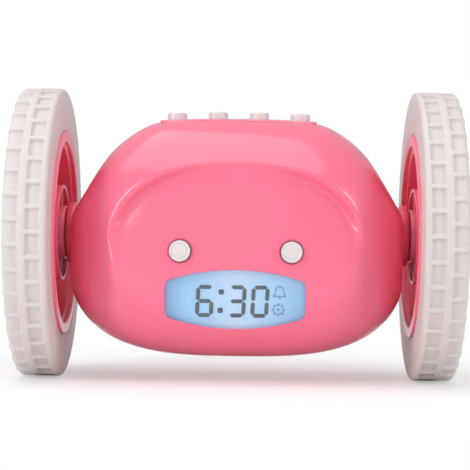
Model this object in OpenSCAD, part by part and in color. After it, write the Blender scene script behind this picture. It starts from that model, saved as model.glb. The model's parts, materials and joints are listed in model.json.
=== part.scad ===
// Runaway alarm clock: a pink housing with a display, carried between two driven wheels.
// Millimetres. The front faces -Y, the wheels turn about X, and Z = 0 is the ground.

/* [Wheels] */
// Overall diameter of a wheel over its tread
wheel_d = 89; // [84:0.5:94]
// Distance over the outer faces of both tyres
overall_w = 133; // [132:0.5:138]
// Width of the tread
tread_w = 12.8; // [12:0.1:14]
// Radial thickness of the tyre from its seat to the crown
tyre_depth = 15.2; // [14.5:0.1:16]
// Depth of the tread pockets
pocket_depth = 1; // [0.4:0.1:1.4]
// Tread pockets in each row
pocket_count = 38; // [24:2:44]
// Radius at the crown's edges
tyre_edge_r = 1.8; // [0.5:0.1:2.4]
// Radial thickness of the rim's barrel
barrel_wall = 1.3; // [1:0.1:1.8]
// Height of the rim's flanges above the tyre seat
flange_h = 2; // [1:0.1:3]
// Thickness of the wheel's web
web_t = 1.8; // [1.2:0.1:3]
// Diameter of the hub tube
hub_d = 16.5; // [12:0.1:18]
// Outer diameter of the ring round the hub
ring_d = 29.6; // [26:0.1:32]
// Wall of the ring round the hub
ring_wall = 1; // [0.8:0.1:1.5]
// Ribs between the hub and its ring
rib_count = 6; // [3:1:10]
// Thickness of those ribs
rib_t = 1.2; // [0.8:0.1:2]

/* [Housing] */
// Gap between a tyre and the housing's pole
body_gap = 1.2; // [1:0.1:1.6]
// Height of the full crown above the axle, before it is cut flat
crown_h = 40.5; // [39:0.1:42]
// Height of the flattened crown above the axle
deck_h = 35.6; // [34.5:0.1:36.5]
// Depth of the belly below the axle
belly_h = 37.8; // [37:0.1:40]
// Reach of the front and the back from the axle
body_reach = 37; // [36.5:0.1:39]
// Fullness of the chin under the display
chin = 3.2; // [0:0.1:4]
// Wall of the housing
wall = 2.2; // [1.6:0.1:2.6]
// Depth of the flat face behind the full front
face_y = 33.6; // [33:0.1:35]
// Height of the brow's edge above the axle
brow_z = 22; // [20:0.5:24]
// Diameter of the collar round the axle
collar_d = 18.8; // [16:0.1:20]

/* [Display and buttons] */
// Width of the display window
window_w = 41; // [36:0.5:44]
// Height of the display window
window_h = 17.3; // [14:0.1:18]
// Depth of the display's centre below the axle
window_drop = 19; // [18:0.1:20]
// Diameter of a face button
eye_d = 6.2; // [5:0.1:7]
// Distance between the face buttons
eye_pitch = 32.4; // [30:0.1:34]
// Depth of the face buttons below the axle
eye_drop = 5; // [4:0.1:6]
// Diameter of a top button
key_d = 6; // [5:0.1:7]
// Distance between the top buttons
key_pitch = 12.6; // [11.5:0.1:13]
// Height of a top button over the panel
key_rise = 2.1; // [1.4:0.1:2.6]
// Stroke of every button
stroke = 0.9; // [0.5:0.1:1]
// Width of the top panel
panel_w = 48; // [46:0.5:50]
// Depth of the top panel, front to back
panel_l = 22; // [20:0.5:24]

/* [Drive] */
// Module of the gears
gear_m = 0.5; // [0.5:0.01:0.51]
// Teeth of the pinions
pinion_teeth = 10; // [10:1:10]
// Teeth of the large gears
wheel_teeth = 40; // [40:1:40]
// Face width of each gear stage
gear_w = 2.6; // [2:0.1:2.8]
// Diameter of the axle
axle_d = 3; // [2.6:0.1:3]
// Length of the motor's can
motor_l = 19; // [15:0.5:20]
// Width of the motor's can across its round sides
motor_w = 15.5; // [14:0.1:16]
// Thickness of the motor's can across its flats
motor_t = 12; // [11:0.1:13]

/* [Power and sound] */
// Diameter of an AAA cell
cell_d = 10.5; // [10:0.1:10.5]
// Length of an AAA cell
cell_l = 44.5; // [42:0.1:44.5]
// Diameter of the loudspeaker
speaker_d = 20; // [16:0.5:21]
// Width of the battery door
door_w = 56; // [55:0.5:60]
// Height of the battery door
door_h = 56; // [55:0.5:57]

/* [Hidden] */
$fn = 48;
run_gap = 0.05;            // radial clearance of a turning fit
slide_gap = 0.2;           // clearance round a button or a cover
far = 200;
axle_z = wheel_d / 2;
wheel_r = wheel_d / 2;
outer_x = overall_w / 2;
tyre_in_x = outer_x - tread_w;
seat_r = wheel_r - tyre_depth;
flange_r = seat_r + flange_h;
barrel_r = seat_r - barrel_wall;
axle_r = axle_d / 2;
hub_r = hub_d / 2;
ring_r = ring_d / 2;
hub_in_x = tyre_in_x - 0.8;
web_x = outer_x - 5.6;
rim_in_x = tyre_in_x - 0.6;
rim_out_x = outer_x - 1.2;
collar_x = hub_in_x - 0.4;
rib_in_x = hub_in_x + 1.6;
ring_in_x = hub_in_x + 1.1;
body_half_w = tyre_in_x - body_gap;
cheek_inset = 2.5;          // from the pole down to the flat cheek
cheek_x = body_half_w - cheek_inset;

// Gear train, in the plane across the axle: [y, z] of each shaft from the axle
step_d = gear_m * (pinion_teeth + wheel_teeth) / 2;
motor_at = [-13, -9];
gear_1_at = motor_at + step_d * [cos(-33), sin(-33)];
mid_at = gear_1_at / 2;
mid_len = norm(mid_at);
up_len = sqrt(step_d * step_d - mid_len * mid_len);
gear_2_at = mid_at + up_len * [-mid_at[1], mid_at[0]] / mid_len;
stage_gap = 0.4;
plate_t = 1.5;
gear_room = 20.7;           // from the cheek in to the gearbox's inner plate
case_x = cheek_x - gear_room;
pinion_x = case_x + plate_t + stage_gap;
stage_2_x = pinion_x + gear_w + stage_gap;
stage_3_x = stage_2_x + gear_w + stage_gap;
cover_x = stage_3_x + gear_w + stage_gap;
end_gap = 0.3;              // left over at the end of a pin, a bush or a blind hole
plate_margin = 0.6;
plate_hub_r = 4;
motor_pad_r = 6;
screw_bite = 4.5;
small_head_r = 1.4;
small_head_t = 0.8;
pin_r = 1;
shaft_r = 0.75;
half_tooth = 180 / wheel_teeth;

// Battery row: four cells side by side, facing down and back
row_dir = -38;
row_at = 19;                // distance of the cells' axes from the axle
cell_gap = 0.4;
cell_pitch = cell_d + cell_gap;
row_h = 4 * cell_pitch + 0.6;
tray_t = 1.2;
spring_l = 3.2;
plate_gap = 0.4;
tray_x = (cell_l + spring_l + plate_gap) / 2 + 0.1;
cell_shift = (spring_l - plate_gap) / 2;
tray_top = 20.8;

// Boards
board_t = 1.2;
deck_board_z = deck_h - 9;
main_board_z = 10;
display_y = -20.9;
board_mid_z = -12;
display_board_w = 44;
display_board_h = 28;
main_board_y = -6;
main_board_w = 2 * (case_x - 0.8);
main_board_l = 25;
top_board_w = 53;
top_board_l = 15;
chip = [12, 9, 1.6];
side_chip = [6, 4, 1.5];
side_chip_x = 16;
can_r = 2.5;
can_h = 6;
can_at = [12, 6];
switch_w = 4.5;
switch_h = 3.2;
speaker_dir = 50;
speaker_at = 31.5;
speaker_h = 6;
speaker_ring_t = 1.3;
sound_hole_r = 0.8;
sound_pitch = 3.2;

// Screw posts and door screw
post_at = [[body_half_w - 22.5, 22], [body_half_w - 7.5, -14]];
post_r = 3;
post_screw_r = 1;
post_head_r = 1.9;
post_seat = 7;
post_depth = 8;
screw_r = 0.8;
door_boss_r = 2.3;
door_head_r = 1.7;
door_screw_y = -(row_h / 2 + tray_t + door_boss_r - 0.6);
door_seat = 24.6;
door_boss_l = 3.4;
deck_post_r = 1.6;
deck_post_y = -5;

// Deck, panel and buttons
deck_r = 190;
brow_cut = 4.5;             // depth of the face below the brow's edge
brow_fade = 9;
brow_ledge = 2.5;
brow_r = 52.5;              // the brow, the face and their rise are parabolas of these radii
face_r = 130;
face_foot = 0.0022;
face_foot_z = -6;
panel_t = 1.6;
key_y = -4;
eye_y = 32.4;
eye_rise = 1.8;

// Display stack, measured inwards from the middle of the window
window_y = 32.7;
window_tilt = 11;
window_inset = 0.4;
window_t = 1.2;
glass_depth = 4.3;
glass_t = 1.6;
light_t = 2.2;
strip_w = 20;
strip_l = 3.6;
strip_h = 1.6;
strip_rise = 12.4;

// Wheel and drive details
bush_r = 4.5;
bush_flange_t = 1.5;
flange_t = 1.5;
bar_t = 1.6;
shoulder_in = 1.3;
pocket_in_w = 3.9;
pocket_out_w = 3.3;
shoulder_out = 0.85;
pillar_at = [[14, 3], [-12, 5], [-15.5, -16], [8.5, -22.6]];
pillar_r = 1.7;
board_rest = 3;             // reach of the ledge that carries the main board
motor_nose_r = 2;
shaft_in = 5;
cap_lip = 1.4;
cap_edge = 1.6;             // heights of the hub cap's edge, face and boss over the web
cap_face = 2.3;
cap_boss = 3.4;
cap_boss_r = 8;
cap_pocket = [12, 8];
cap_pocket_at = 11;
wheel_head_r = 2.5;
wheel_head_t = 1.5;
wheel_screw_l = 6;

// ---------- helpers ----------
module on_axle() {
    translate([0, 0, axle_z]) children();
}

// Turns a solid drawn along +Z so that it runs along +X from x0, at [y, z] beside the axle
module along_x(x0, at = [0, 0]) {
    translate([x0, at[0], axle_z + at[1]]) rotate([90, 0, 90]) children();
}

module pair(left) {
    mirror([left ? 1 : 0, 0, 0]) children();
}

// Turns a solid so that its +Z points out of the housing at the given angle above the rear
module facing_rear(angle) {
    on_axle() rotate([angle - 90, 0, 0]) children();
}

// A plate in local X and Y with round corners, made of true arcs
module round_rect(w, h, r) {
    square([w - 2 * r, h], center = true);
    square([w, h - 2 * r], center = true);
    for (x = [-1, 1], y = [-1, 1])
        translate([x * (w / 2 - r), y * (h / 2 - r)]) circle(r);
}

// The window's outline: two shallow arcs above and below, cut off at short upright ends
module lens(w, h) {
    end_h = h * 0.52;
    rise = (h - end_h) / 2;
    arc_r = (w * w / 4 + rise * rise) / (2 * rise);
    intersection() {
        translate([0, h / 2 - arc_r]) circle(arc_r, $fn = 180);
        translate([0, arc_r - h / 2]) circle(arc_r, $fn = 180);
        round_rect(w, h, h * 0.3);
    }
}

// ---------- housing surface ----------
function mix(a, b, t) = a + (b - a) * t;
function crown(a) = max(0, sin(a));
function belly(a) = max(0, -sin(a));
// Size and fullness of the section at an angle a above the front, for a skin that lies d inside
function reach(a, d, front) =
    body_reach - d + (crown_h - body_reach) * pow(crown(a), 2) + (belly_h - body_reach) * pow(belly(a), 2)
    + (front ? chin * pow(max(0, -sin(2 * a)), 2) : 0);
function fullness(a) = 2.5 - 0.45 * pow(crown(a), 2) + 0.7 * pow(belly(a), 2);
function section_r(x, a, d, front) =
    reach(a, d, front) * pow(max(0, 1 - pow(abs(x) / (body_half_w - d), fullness(a))), 1 / fullness(a));
function smooth_min(a, b, k) = let (h = max(k - abs(a - b), 0) / k) min(a, b) - h * h * k / 4;
function deck(x, d) = deck_h - d - x * x / (2 * deck_r);
// The face is a scoop below an arched brow, deepest at a ledge just under the brow's edge
function brow(x) = brow_z - x * x / (2 * brow_r);
function face_in(x, z) =
    face_y - brow_cut * exp(-max(0, brow(x) - z) / brow_fade)
    + face_foot * pow(min(z - face_foot_z, 0), 2) - x * x / (2 * face_r);
function front_y(y, x, z, d) =
    let (full = -y, below = max(0, brow(x) - z), t = min(below / brow_ledge, 1))
    let (cut = smooth_min(full, face_in(x, z) - d, 1.5 + below * 0.12))
    full + (cut - full) * t * t * (3 - 2 * t);
function skin_point(x, a, d, front) =
    let (r = section_r(x, a, d, front), y = r * cos(a), z0 = r * sin(a))
    let (z = smooth_min(z0, deck(x, d), 3))
    [x, front ? -(y > 1 ? front_y(-y, x, z, d) : y) : y, z + axle_z];

// Stations along X, closer together towards the cheeks
function stations(n, end) = [for (i = [0:n]) end * sin(-90 + 180 * i / n)];

// Half of the housing as a solid: sections of n + 1 points, closed through the parting plane
module half_solid(front, d, rings = 28, steps = 26, past = 0) {
    back = [0, front ? past : -past, 0];
    extra = past > 0 ? 1 : 0;
    xs = stations(rings, cheek_x - d);
    per = steps + 1 + 2 * extra;
    pts = [for (x = xs) each concat(
        extra > 0 ? [skin_point(x, 90, d, front) + back] : [],
        [for (j = [0:steps]) skin_point(x, 90 - 180 * j / steps, d, front)],
        extra > 0 ? [skin_point(x, -90, d, front) + back] : [])];
    quads = [for (i = [0:rings - 1], j = [0:per - 1])
        let (a = i * per + j, b = i * per + (j + 1) % per) each [[a, b, b + per], [a, b + per, a + per]]];
    caps = [[for (j = [per - 1:-1:0]) j], [for (j = [0:per - 1]) rings * per + j]];
    faces = concat(quads, caps);
    polyhedron(pts, front ? [for (f = faces) [for (k = [len(f) - 1:-1:0]) f[k]]] : faces, convexity = 6);
}

// ---------- housing ----------
module window_hole(grow = 0) {
    on_axle() translate([0, 0, -window_drop]) rotate([90, 0, 0])
        linear_extrude(far) lens(window_w + 2 * grow, window_h + 2 * grow);
}

module at_eyes() {
    for (s = [-1, 1])
        on_axle() translate([s * eye_pitch / 2, 0, -eye_drop]) rotate([90, 0, 0]) children();
}

module panel_prism(grow = 0) {
    translate([0, 0, axle_z]) linear_extrude(far) round_rect(panel_w + 2 * grow, panel_l + 2 * grow, 4);
}

// Everything below the curved deck, lowered by d
module under_deck(d) {
    translate([0, far / 2, axle_z + deck_h - deck_r])
        rotate([90, 0, 0]) cylinder(r = deck_r - d, h = far, $fn = 360);
}

module at_keys() {
    for (i = [0:3]) key_place(i) children();
}

// Puts a button drawn upwards from the deck at place i along the panel
module key_place(i) {
    x = (i - 1.5) * key_pitch;
    translate([x, key_y, axle_z + deck(x, 0)]) children();
}

module at_posts() {
    for (s = [-1, 1], p = post_at)
        translate([s * p[0], 0, axle_z + p[1]]) rotate([90, 0, 0]) children();
}

// Cuts that both shells share: the deck's recess, the button holes and the axle bushes
module shared_cuts() {
    difference() {
        panel_prism(slide_gap);
        under_deck(panel_t);
    }
    at_keys() translate([0, 0, -10]) cylinder(r = key_d / 2 + slide_gap, h = 12);
    along_x(-far / 2) cylinder(r = bush_r, h = far);
}

module front_shell() {
    color("hotpink") difference() {
        half_solid(true, 0);
        difference() {
            half_solid(true, wall, 20, 18, 1);
            at_posts() translate([0, 0, -2]) cylinder(r = post_r, h = far);
            for (s = [-1, 1])
                translate([s * key_pitch, key_y + deck_post_y, axle_z + deck_board_z])
                    cylinder(r = deck_post_r, h = far);
        }
        shared_cuts();
        window_hole();
        at_eyes() cylinder(r = eye_d / 2 + slide_gap, h = far);
        at_posts() translate([0, 0, -1]) cylinder(r = post_screw_r, h = post_depth + 1);
    }
}

module rear_shell() {
    color("hotpink") difference() {
        half_solid(false, 0);
        difference() {
            half_solid(false, wall, 20, 18, 1);
            at_posts() translate([0, 0, -far]) cylinder(r = post_r, h = far + 2);
        }
        shared_cuts();
        facing_rear(row_dir) linear_extrude(far) round_rect(door_w, door_h, 5);
        facing_rear(speaker_dir) sound_holes();
        at_posts() translate([0, 0, -far]) cylinder(r = post_head_r + slide_gap, h = far - post_seat);
        at_posts() translate([0, 0, -post_seat - 1]) cylinder(r = post_screw_r + slide_gap, h = far);
    }
}

module sound_holes() {
    cylinder(r = sound_hole_r, h = far);
    for (ring = [1:2], i = [0:6 * ring - 1])
        rotate(i * 60 / ring) translate([ring * sound_pitch, 0, 0]) cylinder(r = sound_hole_r, h = far);
}

module housing_screws() {
    color("silver") at_posts() {
        translate([0, 0, -post_seat - 1.4]) cylinder(r = post_head_r, h = 1.4);
        translate([0, 0, -post_seat]) cylinder(r = post_screw_r, h = post_seat + post_depth - 1);
    }
}

module top_panel() {
    color("pink") difference() {
        intersection() {
            panel_prism();
            under_deck(0);
        }
        under_deck(panel_t);
        at_keys() translate([0, 0, -10]) cylinder(r = key_d / 2 + slide_gap, h = 20);
    }
}

module battery_door() {
    color("hotpink") difference() {
        intersection() {
            facing_rear(row_dir) linear_extrude(far)
                round_rect(door_w - 2 * slide_gap, door_h - 2 * slide_gap, 5);
            half_solid(false, 0);
        }
        difference() {
            half_solid(false, wall, 20, 18, 1);
            facing_rear(row_dir) translate([0, door_screw_y, door_seat - door_boss_l])
                cylinder(r = door_boss_r, h = far);
        }
        facing_rear(row_dir) translate([0, door_screw_y, door_seat])
            cylinder(r = door_head_r + slide_gap / 2, h = far);
        facing_rear(row_dir) translate([0, door_screw_y, 0]) cylinder(r = screw_r, h = far);
    }
}

module battery_door_screw() {
    color("silver") facing_rear(row_dir) translate([0, door_screw_y, 0]) {
        translate([0, 0, door_seat]) cylinder(r = door_head_r, h = 1.2);
        translate([0, 0, door_seat - 5]) cylinder(r = screw_r, h = 5);
    }
}

// Collar outside the cheek, neck through the split wall and a flange inside it
module axle_bush(left) {
    color("crimson") pair(left) along_x(0) rotate_extrude() polygon([
        [axle_r + run_gap, cheek_x - wall - bush_flange_t], [bush_r + 2, cheek_x - wall - bush_flange_t],
        [bush_r + 2, cheek_x - wall], [bush_r, cheek_x - wall], [bush_r, cheek_x],
        [collar_d / 2, cheek_x], [collar_d / 2, collar_x - 0.5], [collar_d / 2 - 0.5, collar_x],
        [axle_r + run_gap, collar_x]]);
}

// ---------- buttons ----------
module push_button(d, rise, stem) {
    cylinder(r = d / 2 - 0.35, h = rise);
    cylinder(r = d / 2, h = rise - 0.35);
    translate([0, 0, -stem]) cylinder(r = d / 2, h = stem);
    translate([0, 0, -stem]) cylinder(r = d / 2 + 0.8, h = min(1, stem - wall - slide_gap));
}

module top_button(i) {
    x = (i - 1.5) * key_pitch;
    color("white") key_place(i)
        push_button(key_d, key_rise, deck(x, 0) - deck_board_z - switch_h - stroke - 0.1);
}

module eye_button(left) {
    color("white") pair(left) on_axle() translate([eye_pitch / 2, -eye_y, -eye_drop])
        rotate([90, 0, 0]) push_button(eye_d, eye_rise, eye_y + display_y - switch_h - stroke - 0.1);
}

module tact_switch() {
    translate([-switch_w / 2, -switch_w / 2, 0]) cube([switch_w, switch_w, switch_h - 1]);
    cylinder(r = 1.2, h = switch_h);
}

module eye_switches() {
    color("dimgray") at_eyes() translate([0, 0, -display_y]) tact_switch();
}

module top_switches() {
    color("dimgray") for (i = [0:3])
        translate([(i - 1.5) * key_pitch, key_y, axle_z + deck_board_z]) tact_switch();
}

module top_board() {
    color("darkgreen") translate([0, key_y, axle_z + deck_board_z - board_t])
        linear_extrude(board_t) round_rect(top_board_w, top_board_l, 1);
}

// ---------- display ----------
module facing_window() {
    on_axle() translate([0, -window_y, -window_drop]) rotate([90 + window_tilt, 0, 0]) children();
}

module lcd_window() {
    color("lightcyan") difference() {
        intersection() {
            half_solid(true, window_inset, 28, 26);
            window_hole(-0.05);
        }
        half_solid(true, window_inset + window_t, 28, 26, 1);
    }
}

module lcd_glass() {
    color("lightblue") facing_window() translate([0, 0, -glass_depth - glass_t])
        linear_extrude(glass_t) lens(window_w + 1, window_h + 0.6);
}

module lcd_backlight() {
    color("white") facing_window() translate([0, 0, -glass_depth - glass_t - light_t])
        linear_extrude(light_t) lens(window_w + 1, window_h + 0.6);
}

module lcd_holder() {
    color("gray") intersection() {
        facing_window() translate([0, 0, -glass_depth - glass_t - light_t]) linear_extrude(glass_depth + light_t)
            difference() {
                lens(window_w + 4, window_h + 3.4);
                lens(window_w + 1.2, window_h + 0.8);
            }
        half_solid(true, wall + 0.15, 20, 18);
    }
}

// Elastomer strip that joins the glass's upper edge to the display board
module lcd_connector() {
    color("dimgray") on_axle() translate([-strip_w / 2, display_y - strip_l, -window_drop + strip_rise])
        cube([strip_w, strip_l, strip_h]);
}

module display_board() {
    color("darkgreen") on_axle() translate([0, display_y, board_mid_z]) rotate([-90, 0, 0])
        linear_extrude(board_t) round_rect(display_board_w, display_board_h, 2);
}

module main_board() {
    color("darkgreen") translate([0, main_board_y, axle_z + main_board_z])
        linear_extrude(board_t) round_rect(main_board_w, main_board_l, 1);
}

module board_chips() {
    color("black") translate([0, main_board_y, axle_z + main_board_z + board_t]) {
        translate([-chip[0] / 2, -chip[1] / 2, 0]) cube(chip);
        for (s = [-1, 1]) {
            translate([s * side_chip_x - side_chip[0] / 2, -side_chip[1] / 2, 0]) cube(side_chip);
            translate([s * can_at[0], can_at[1], 0]) cylinder(r = can_r, h = can_h);
        }
    }
}

// ---------- sound ----------
module speaker() {
    color("dimgray") facing_rear(speaker_dir) translate([0, 0, speaker_at - speaker_h]) {
        translate([0, 0, speaker_h - 2]) cylinder(r = speaker_d / 2, h = 2);
        cylinder(r = speaker_d * 0.32, h = speaker_h);
    }
}

module speaker_ring() {
    color("gray") facing_rear(speaker_dir) translate([0, 0, speaker_at]) difference() {
        cylinder(r = speaker_d / 2 + 1.2, h = speaker_ring_t);
        translate([0, 0, -1]) cylinder(r = speaker_d / 2 - 1.2, h = speaker_ring_t + 2);
    }
}

// ---------- power ----------
module at_cells() {
    for (i = [0:3])
        facing_rear(row_dir) translate([(i % 2 == 0 ? 1 : -1) * cell_shift, (i - 1.5) * cell_pitch, row_at])
            rotate([0, i % 2 == 0 ? 90 : -90, 0]) children();
}

module batteries() {
    color("slategray") at_cells() {
        translate([0, 0, -cell_l / 2]) cylinder(r = cell_d / 2, h = cell_l - 1);
        cylinder(r = 1.9, h = cell_l / 2);
    }
}

module battery_tray() {
    floor_z = row_at - cell_d / 2 - 0.3 - tray_t;
    color("gray") facing_rear(row_dir) {
        difference() {
            translate([-tray_x - tray_t, -row_h / 2 - tray_t, floor_z])
                cube([2 * (tray_x + tray_t), row_h + 2 * tray_t, tray_top - floor_z]);
            translate([-tray_x, -row_h / 2, floor_z + tray_t]) cube([2 * tray_x, row_h, far]);
        }
        difference() {
            translate([0, door_screw_y, floor_z]) cylinder(r = door_boss_r, h = door_seat - door_boss_l - 0.3 - floor_z);
            translate([0, -row_h / 2 - tray_t + door_boss_r, 0]) cube([far, 2 * door_boss_r, far], center = true);
            translate([0, door_screw_y, door_seat - 6]) cylinder(r = screw_r + run_gap, h = far);
        }
    }
}

// A flat plate at each cell's nose and a coiled spring, as a sleeve, at its base
module battery_contacts() {
    color("silver") at_cells() {
        translate([-3.5, -3.5, cell_l / 2]) cube([7, 7, plate_gap]);
        translate([0, 0, -cell_l / 2 - spring_l]) difference() {
            cylinder(r = 3, h = spring_l);
            translate([0, 0, 0.5]) cylinder(r = 2.2, h = spring_l);
        }
    }
}

// ---------- drive ----------
// Straight-sided teeth with backlash, one tooth centred on local X turned by phase
module gear(teeth, w, phase) {
    pitch_r = gear_m * teeth / 2;
    tip_r = pitch_r + 0.8 * gear_m;
    root_r = pitch_r - 1.1 * gear_m;
    step = 360 / teeth;
    quarter = step * 0.21;
    tip = quarter * 0.5 * pitch_r / tip_r;
    foot = quarter * 1.45;
    pts = [for (i = [0:teeth - 1], k = [[-foot, root_r], [-tip, tip_r], [tip, tip_r], [foot, root_r]])
        let (a = phase + i * step + k[0]) k[1] * [cos(a), sin(a)]];
    linear_extrude(w) polygon(pts);
}

function heading(from, to) = atan2(to[1] - from[1], to[0] - from[0]);

// Large gear with a gap facing the shaft before it, small gear with a tooth facing the next one
module compound_gear(left, at, x0, before, next) {
    pair(left) difference() {
        union() {
            along_x(x0, at) gear(wheel_teeth, gear_w, heading(at, before) + half_tooth);
            along_x(x0 + gear_w, at) gear(pinion_teeth, gear_w + stage_gap, heading(at, next));
        }
        along_x(x0 - 1, at) cylinder(r = pin_r + run_gap, h = 4 * gear_w);
    }
}

module gear_1(left) {
    color("white") compound_gear(left, gear_1_at, pinion_x, motor_at, gear_2_at);
}

module gear_2(left) {
    color("white") compound_gear(left, gear_2_at, stage_2_x, gear_1_at, [0, 0]);
}

module output_gear(left) {
    color("white") pair(left) difference() {
        union() {
            along_x(stage_3_x) gear(wheel_teeth, gear_w, heading([0, 0], gear_2_at) + half_tooth);
            along_x(stage_3_x - 0.3) cylinder(r = axle_r + 1.2, h = 0.3);
        }
        along_x(stage_3_x - 1) cylinder(r = axle_r, h = gear_w + 2);
    }
}

module pinion(left) {
    color("goldenrod") pair(left) difference() {
        along_x(pinion_x, motor_at) gear(pinion_teeth, gear_w, heading(motor_at, gear_1_at));
        along_x(pinion_x - 1, motor_at) cylinder(r = shaft_r, h = gear_w + 2);
    }
}

module motor_shaft(left) {
    color("silver") pair(left) along_x(case_x - shaft_in, motor_at)
        cylinder(r = shaft_r, h = pinion_x + gear_w - case_x + shaft_in);
}

module motor(left) {
    color("silver") pair(left) difference() {
        union() {
            along_x(case_x - motor_l, motor_at) linear_extrude(motor_l) intersection() {
                circle(motor_w / 2);
                square([motor_t, motor_w], center = true);
            }
            along_x(case_x - motor_l - 1, motor_at) cylinder(r = 2.5, h = 1);
            along_x(case_x, motor_at) cylinder(r = motor_nose_r, h = plate_t * 0.8);
        }
        along_x(case_x - shaft_in - 0.2, motor_at) cylinder(r = shaft_r + run_gap, h = far);
    }
}

module gear_pins() {
    color("silver") for (left = [true, false], at = [gear_1_at, gear_2_at])
        pair(left) along_x(case_x + end_gap, at)
            cylinder(r = pin_r, h = cover_x + plate_t - case_x - 2 * end_gap);
}

module plate_outline(with_motor) {
    hull() {
        for (p = pillar_at)
            translate(p) circle(pillar_r + plate_margin, $fn = 32);
        circle(plate_hub_r, $fn = 32);
        if (with_motor)
            translate(motor_at) circle(motor_pad_r, $fn = 32);
    }
}

// Inner plate with the four pillars that hold the cover off it
module gearbox_case(left) {
    color("gray") pair(left) difference() {
        union() {
            along_x(case_x) linear_extrude(plate_t) plate_outline(true);
            for (p = pillar_at)
                along_x(case_x, p) cylinder(r = pillar_r, h = cover_x - case_x);
            translate([case_x - board_rest, pillar_at[1][0] - 3, axle_z + pillar_at[1][1] - 1])
                cube([board_rest + plate_t, 6, main_board_z - pillar_at[1][1] + 1]);
        }
        along_x(case_x - 1) cylinder(r = axle_r + run_gap, h = 4);
        along_x(case_x - 1, motor_at) cylinder(r = motor_nose_r, h = 4);
        for (at = [gear_1_at, gear_2_at])
            along_x(case_x + end_gap, at) cylinder(r = pin_r, h = 4);
        for (p = [pillar_at[0], pillar_at[3]])
            along_x(cover_x - screw_bite - 0.5, p) cylinder(r = screw_r, h = screw_bite + 1.5);
    }
}

module gearbox_cover(left) {
    color("gray") pair(left) difference() {
        union() {
            along_x(cover_x) linear_extrude(plate_t) plate_outline(false);
            along_x(cover_x) cylinder(r = bush_r, h = cheek_x - wall - bush_flange_t - end_gap - cover_x);
        }
        along_x(cover_x - 1) cylinder(r = axle_r + run_gap, h = far);
        for (at = [gear_1_at, gear_2_at])
            along_x(cover_x - 1, at) cylinder(r = pin_r, h = plate_t - end_gap + 1);
        for (p = [pillar_at[0], pillar_at[3]])
            along_x(cover_x - 1, p) cylinder(r = screw_r, h = 6);
    }
}

module gearbox_screws() {
    color("silver") for (left = [true, false], p = [pillar_at[0], pillar_at[3]])
        pair(left) {
            along_x(cover_x + plate_t, p) cylinder(r = small_head_r, h = small_head_t);
            along_x(cover_x - screw_bite, p) cylinder(r = screw_r, h = plate_t + screw_bite);
        }
}

// ---------- wheels ----------
module axle(left) {
    axle_l = web_x + web_t - case_x - end_gap;
    color("silver") pair(left) along_x(case_x + end_gap) difference() {
        cylinder(r = axle_r, h = axle_l);
        translate([0, 0, axle_l - wheel_screw_l - 0.2]) cylinder(r = screw_r, h = far);
    }
}

module wheel_rim(left) {
    step_r = barrel_r - 1;
    step_x = rim_in_x + 1.6;
    color("hotpink") pair(left) {
        along_x(0) rotate_extrude() polygon([
            [axle_r, hub_in_x], [hub_r - 0.5, hub_in_x], [hub_r, hub_in_x + 0.5], [hub_r, web_x],
            [ring_r - ring_wall, web_x], [ring_r - ring_wall, ring_in_x], [ring_r, ring_in_x],
            [ring_r, web_x], [step_r, web_x], [step_r, step_x], [barrel_r, step_x], [barrel_r, rim_in_x + 0.3],
            [barrel_r + 0.3, rim_in_x], [flange_r - 0.3, rim_in_x], [flange_r, rim_in_x + 0.3],
            [flange_r, rim_in_x + flange_t], [seat_r, rim_in_x + flange_t], [seat_r, rim_out_x - flange_t],
            [flange_r, rim_out_x - flange_t], [flange_r, rim_out_x - 0.3], [flange_r - 0.3, rim_out_x],
            [barrel_r, rim_out_x], [step_r, rim_out_x - 0.8], [step_r, web_x + web_t], [axle_r, web_x + web_t]]);
        for (i = [0:rib_count - 1])
            along_x(rib_in_x) rotate(90 + i * 360 / rib_count)
                translate([hub_r - 0.5, -rib_t / 2, 0])
                    cube([ring_r - ring_wall / 2 - hub_r + 0.5, rib_t, web_x + web_t / 2 - rib_in_x]);
    }
}

function arc(c, r, a0, a1, n) = [for (i = [0:n]) let (a = mix(a0, a1, i / n)) c + r * [cos(a), sin(a)]];

module tyre(left) {
    pocket_l = 2 * PI * wheel_r / pocket_count - bar_t;
    step = 360 / pocket_count;
    in_row = tyre_in_x + 0.6 + shoulder_in;
    out_row = outer_x - 0.4 - shoulder_out - pocket_out_w;
    color("whitesmoke") pair(left) along_x(0) difference() {
        rotate_extrude($fn = 120) polygon(concat(
            [[seat_r, rim_in_x + flange_t], [flange_r, rim_in_x + flange_t], [flange_r, tyre_in_x + 0.2],
                [flange_r + 2, tyre_in_x]],
            arc([wheel_r - tyre_edge_r * 0.7, tyre_in_x + tyre_edge_r * 0.7], tyre_edge_r * 0.7, -90, 0, 4),
            arc([wheel_r - tyre_edge_r, outer_x - tyre_edge_r], tyre_edge_r, 0, 90, 5),
            [[flange_r + 2, outer_x], [flange_r, outer_x - 0.4], [flange_r, rim_out_x - flange_t],
                [seat_r, rim_out_x - flange_t]]));
        for (i = [0:pocket_count - 1]) {
            rotate((i + 0.5) * step) translate([wheel_r - pocket_depth, -pocket_l / 2, in_row])
                cube([3, pocket_l, pocket_in_w]);
            rotate(i * step) translate([wheel_r - pocket_depth, -pocket_l / 2, out_row])
                cube([3, pocket_l, pocket_out_w]);
        }
    }
}

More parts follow.
